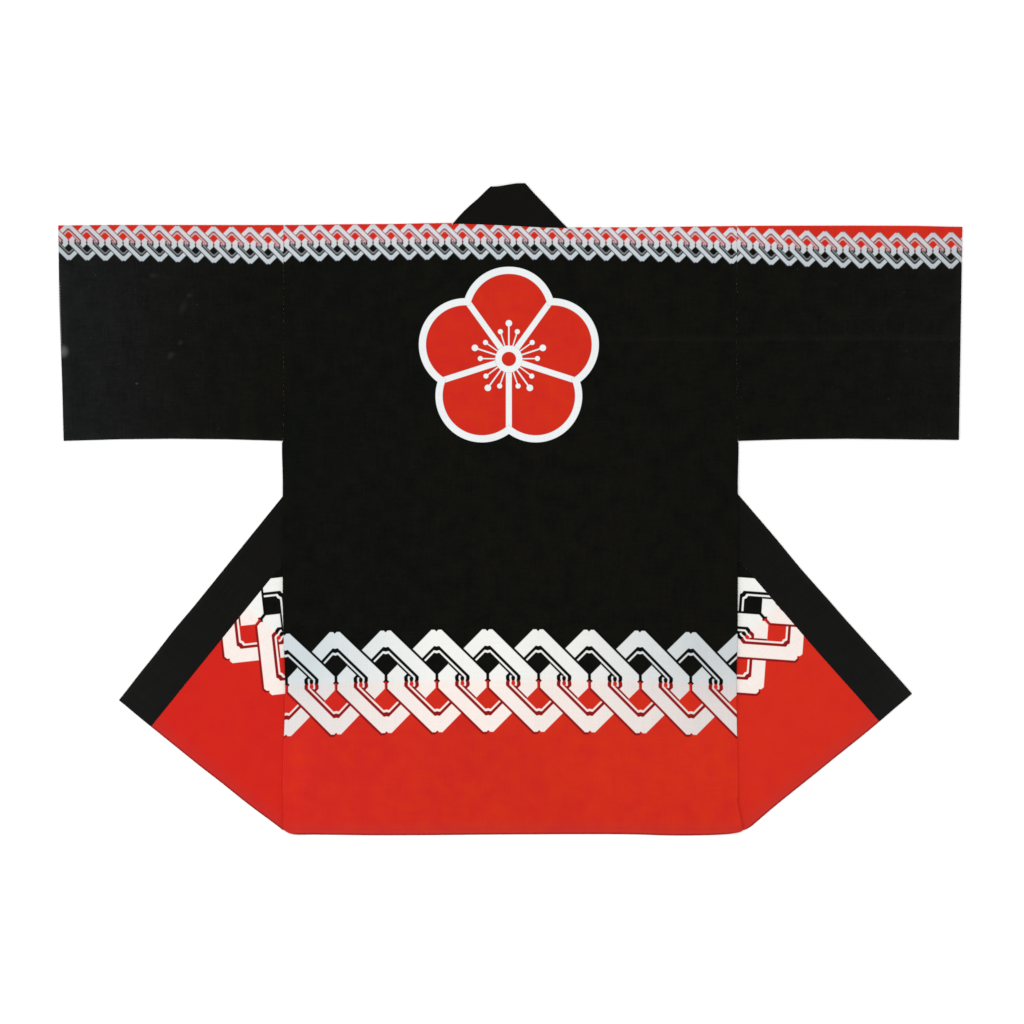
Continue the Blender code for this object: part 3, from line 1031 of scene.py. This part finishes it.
class Cotton:
    """One piece's printed cotton: a place on the cloth, and how the threads and the dye vary there."""

    def __init__(self, name):
        self.name = name
        self.layout = PRINTS[name]
        self.finish = Finish(name)
        self.across, self.along = self.finish.cloth()
        self.seen = self.across * float(self.layout["seen_from"])
        self.height, self.slubs, self.broad = weave(self.finish, self.across, self.along)
        self.patches = self.finish.noise(self.across * PATCHES + 7.0, self.along * PATCHES) - 0.5
        warmth = self.patches * 1.6 + self.broad * 0.8 + 0.5
        if name == "back_panel":
            warmth = warmth + (self.across + 0.05).at_most(0.0) * 1.8
        self.warmth = warmth.clipped()

    def above(self, line):
        """The distance above one of the layout's lines."""
        return self.along - line_height(self.across, self.layout[line])

    def shoulder_border(self):
        """The small chain: silver, dark and red parts, and the colours of its links and of their lines."""
        finish, pitch = self.finish, self.layout["shoulder_pitch"]
        above_line = self.above("shoulder_line")
        start = self.layout["shoulder_start"]
        bars, lines, dark = chain(self.seen - start, above_line, pitch, SMALL_LINK, SMALL_SOFTNESS)
        red = above_line.math("GREATER_THAN", 0.0)
        silver = bars + lines * (red * 0.28 + 0.38)
        links = finish.mix((above_line / 0.020 + 0.5).clipped(), SMALL_SILVER_ON_BLACK, SMALL_SILVER_ON_RED)
        to_tip = ((abs(above_line) / pitch - 0.62) * 2.2).clipped()
        links = finish.mix(to_tip * (self.broad + 0.5), links, SMALL_TIP_SILVER)
        line = finish.mix(red, SMALL_LINE_ON_BLACK, SMALL_LINE_ON_RED)
        if self.name in CUFF_BLACK:
            to_cuff = self.to_cuff()
            links = finish.scale(links, 1.0 - to_cuff * 0.14)
            line = finish.scale(line, 1.0 - to_cuff * 0.45)
        return silver, dark * 0.9, red, links, line

    def hem_border(self):
        """The large chain, given as the small one is."""
        finish, on_back = self.finish, self.name == "back_panel"
        above_line = self.above("hem_line")
        start = self.layout["hem_start"]
        bars, lines, dark = chain(self.seen - start, above_line, HEM_PITCH, LARGE_LINK, LARGE_SOFTNESS)
        red = above_line.math("LESS_THAN", 0.0)
        # painted reflection: the silver ink turns blue-grey towards the back's sides, where its metallic look
        # changes with the light; elsewhere the noise gives it a random blue tint
        blue = self.broad * 0.5 + 0.06
        if on_back:
            reflection_to_sides = ((abs(self.across + 0.01) - 0.10) / 0.17).clipped()
            blue = blue + reflection_to_sides * ((above_line / 0.06 + 0.5).clipped() * 0.4 + 0.5)
        side_tint_and_reflection = finish.mix((self.seen / 0.5 + 0.5).clipped(), LEFT_SILVER_TINT_AND_REFLECTION, RIGHT_SILVER_TINT_AND_REFLECTION)
        links = finish.mix(blue.clipped(), SILVER, side_tint_and_reflection)
        if on_back:
            links = finish.scale(links, 1.0 - (self.across / 0.04).clipped() * 0.045)
        over_red = (0.5 - above_line / 0.010).clipped()
        links = finish.mix(over_red, links, finish.tinge(links, REDDENED))
        return bars + lines, dark, red, links, finish.mix(red, LINE_BLACK, DARK_RED)

    def to_cuff(self):
        """Nothing at the armhole, one at the cuff."""
        return ((abs(self.across) - HALF_BODY) / SLEEVE_RUN).at_least(0.0)

    def red_dye(self):
        """The red cloth, with painted light along the body's folded sides against the shade there, and duller
        towards the hem.
        """
        finish, name = self.finish, self.name
        # painted light: the red is made lighter on the rounded fold at the body's sides, above FOLDED_ABOVE,
        # against the shade that falls on that edge
        near_fold = (abs(abs(self.across) - HALF_BODY) - 0.0012).within(0.0008)
        fold_painted_light = near_fold * (FOLDED_ABOVE - self.along).within(0.01)
        tone = self.slubs * 0.17 + self.broad * 0.16 + self.patches * 0.10 + fold_painted_light * 0.22 + 1.0
        if name == "back_panel":
            tone = tone + abs(self.across) * 0.10
        dye = finish.scale(finish.mix(self.warmth, RED, WARM_RED), tone)
        if name in FRONT_RED:
            dye = finish.mix(0.5, dye, FRONT_RED[name])
        if "hem_line" in self.layout:
            to_hem = ((HEM + HEM_DULL - self.along) / HEM_DULL).at_least(0.0)
            dye = finish.mix(to_hem * 0.18, dye, HEM_RED)
        return dye

    def black_dye(self):
        """The black cloth, greyer towards the cuffs, with painted highlights on its pressed line and along
        the sleeves' edges, its scuffs and its lint.
        """
        finish, name = self.finish, self.name
        mottle = finish.noise(self.across * MOTTLE, self.along * MOTTLE, detail=1.0) - 0.5
        tone = self.slubs * 1.1 + self.broad * 0.30 + self.patches * 0.9 + mottle * 0.55 + 1.0
        dye = finish.mix(self.warmth * 0.6, BLACK, WARM_BLACK)
        # painted highlight along the pressed crease
        if name in ("back_panel", "sleeve_right"):
            tone = tone + pressed_line_highlight(self.across, self.along) * 0.42
        if name == "sleeve_left":
            tone = tone + scuffs(self.across, self.along)
        if name in CUFF_BLACK:
            to_cuff = self.to_cuff()
            dye = finish.mix(to_cuff * (to_cuff * 0.5 + 0.5), dye, CUFF_BLACK[name])
            # painted highlight: the sleeves' black is made lighter near the cuff and the lower edge, where
            # the rounded edges catch the light
            from_edge = (CUFF_TO_CUFF / 2 - abs(self.across)).at_most(self.along - UNDERARM)
            grains = finish.noise(self.across * LINT, self.along * LINT, detail=0.0)
            lint = ((grains - 0.82) * 14.0).clipped()
            tone = tone + ((EDGE_HIGHLIGHT - from_edge) / EDGE_HIGHLIGHT).at_least(0.0) * 0.4 + lint * 3.0
        return finish.scale(dye, tone)

    def sewn(self, edges):
        """Where the stitches along the piece's edges are."""
        rows = []
        for direction, line in edges:
            places = (self.across, self.along) if direction == "along" else (self.along, self.across)
            rows.append(stitches(*places, line))
        return functools.reduce(Value.at_least, rows)


def printed(name, edges):
    """Black cotton printed with the shoulder chain, and with the red hem and its chain where it has them."""
    cotton = Cotton(name)
    finish, across, along = cotton.finish, cotton.across, cotton.along
    silver, dark, red, links, line = cotton.shoulder_border()
    if "hem_line" in cotton.layout:
        hem_silver, hem_dark, hem_red, hem_links, hem_line = cotton.hem_border()
        in_hem = along.math("LESS_THAN", 0.0)
        silver = silver + hem_silver
        dark = dark + hem_dark
        red = red.at_least(hem_red)
        links = finish.mix(in_hem, links, hem_links)
        line = finish.mix(in_hem, line, hem_line)
    if name == "back_panel":
        flower_silver, flower_red = flower(across - FLOWER_PLACE[0], along - FLOWER_PLACE[1])
        silver = silver + flower_silver
        red = red.at_least(flower_red)
        links = finish.mix(flower_silver, links, FLOWER_SILVER)
    silver = silver.clipped()
    links = finish.scale(links, cotton.slubs * 0.16 + cotton.broad * 0.12 + 1.0)
    ground = finish.mix(red, cotton.black_dye(), cotton.red_dye())
    colour = finish.mix(silver, finish.mix(dark.clipped(), ground, line), links)
    if "hem_line" in cotton.layout:
        # painted shadow: a dark line along the hem's turned edge
        hem_painted_shadow = (along - HEM - HEM_SHADOW_LINE).within(0.0006)
        colour = finish.mix(hem_painted_shadow * 0.6, colour, finish.scale(colour, 0.3))
    if name == "sleeve_left":
        colour = finish.mix(selvedge_specks(across, along), colour, SPECK)
    sewn = cotton.sewn(edges)
    colour = finish.mix(sewn * 0.3, colour, finish.scale(colour, 0.45))
    height = cotton.height - sewn * STITCH_DEPTH + silver * INK_HEIGHT
    return finish.surface(colour, COTTON_ROUGHNESS + cotton.slubs * 0.08 - silver * 0.20, height)


def inside_cloth(name, layout):
    """The unprinted side of the cloth, where the dyes show duller."""
    finish = Finish(name)
    across, along = finish.cloth()
    height, slubs, broad = weave(finish, across, along)
    red = (line_height(across, layout["shoulder_line"]) - along).within(0.003)
    if "hem_line" in layout:
        red = red.at_least((along - line_height(across, layout["hem_line"])).within(0.003))
    black = finish.scale(INSIDE_BLACK, slubs * 0.5 + broad * 0.4 + 1.0)
    faded = finish.scale(INSIDE_RED, slubs * 0.18 + broad * 0.25 + 1.0)
    return finish.surface(finish.mix(red, black, faded), INSIDE_ROUGHNESS + slubs * 0.05, height)


def band_cloth():
    """The band's doubled black cotton, sewn close to both long edges, with a painted highlight along the edge
    away from its seam.
    """
    finish = Finish("band_cotton")
    across, along = finish.cloth()
    height, slubs, broad = weave(finish, across, along)
    start = NECK_SEAM + SEAM
    half_length = HALF_NECK + start - HEM
    lower, upper = start + BAND_STITCHES[0], start + BAND_WIDTH - BAND_STITCHES[1]
    sewn = stitches(along, across, lower).at_least(stitches(along, across, upper))
    to_end = (abs(across) / half_length).math("POWER", 3.0)
    # painted highlight: the black is made lighter near the band's long edge away from the seam
    from_edge = (start + BAND_WIDTH - along).at_least(0.0)
    tone = slubs + broad * 0.35 + ((BAND_HIGHLIGHT - from_edge) / BAND_HIGHLIGHT).at_least(0.0) * 0.3 + 1.0
    black = finish.scale(finish.mix(to_end, BAND_BLACK, BAND_END_BLACK), tone)
    colour = finish.mix(sewn * 0.5, black, BAND_THREAD)
    height = height - sewn * BAND_STITCH_DEPTH
    return finish.surface(colour, COTTON_ROUGHNESS + slubs * 0.08, height)


# The table, the light and the camera


def table():
    """A plain near-white surface, far wider than the coat."""
    bm = bmesh.new()
    bmesh.ops.create_grid(bm, x_segments=1, y_segments=1, size=TABLE_SIZE)
    mesh = bpy.data.meshes.new("floor")
    bm.to_mesh(mesh)
    bm.free()
    mesh.transform(Matrix.Translation((0, 0, -TABLE_DROP)))
    finish = Finish("white_table")
    sockets = {"Base Color": TABLE_WHITE, "Roughness": 0.9, "Specular IOR Level": 0.1}
    shader = finish.add("ShaderNodeBsdfPrincipled", {}, sockets)
    finish.add("ShaderNodeOutputMaterial", {}, {"Surface": shader})
    mesh.materials.append(finish.material)
    floor = shown_object("floor", mesh)


def soft_light(name, place, size, power):
    """A large soft lamp that faces the coat."""
    lamp = bpy.data.lights.new(name, "AREA")
    lamp.shape = "SQUARE"
    lamp.size = size
    lamp.energy = power
    made = shown_object(name, lamp)
    made.location = place
    made.rotation_euler = (-Vector(place)).to_track_quat("-Z", "Y").to_euler()


def studio():
    """An even white sky and two soft lamps."""
    world = bpy.data.worlds.new("studio")
    world.use_nodes = True
    back = world.node_tree.nodes["Background"]
    back.inputs["Color"].default_value = (1.0, 1.0, 1.0, 1.0)
    back.inputs["Strength"].default_value = SKY_STRENGTH
    bpy.context.scene.world = world
    bpy.context.scene.view_settings.view_transform = "Standard"
    for row in LAMPS:
        soft_light(**row)


def camera():
    """Straight down, as in the photo."""
    lens = bpy.data.cameras.new("camera")
    lens.lens = CAMERA_LENS
    made = shown_object("camera", lens)
    made.location = (*CAMERA_AIM, CAMERA_HEIGHT)
    bpy.context.scene.camera = made


def main():
    camera()
    studio()
    table()
    insides = {name: inside_cloth(f"{name}_inside", layout) for name, layout in PRINTS.items()}
    hem_edges = [("across", HEM + HEM_STITCH)]
    cuff_line = CUFF_TO_CUFF / 2 - CUFF_STITCH
    back_panel(printed("back_panel", hem_edges), insides["back_panel"])
    for name, side in SIDES.items():
        front(name, printed(f"front_{name}", hem_edges), insides[f"front_{name}"])
        sleeve_edges = [("along", side["sign"] * cuff_line), ("across", UNDERARM + UNDERARM_STITCH)]
        sleeve(name, printed(f"sleeve_{name}", sleeve_edges), insides[f"sleeve_{name}"])
    collar_band(band_cloth())


main()
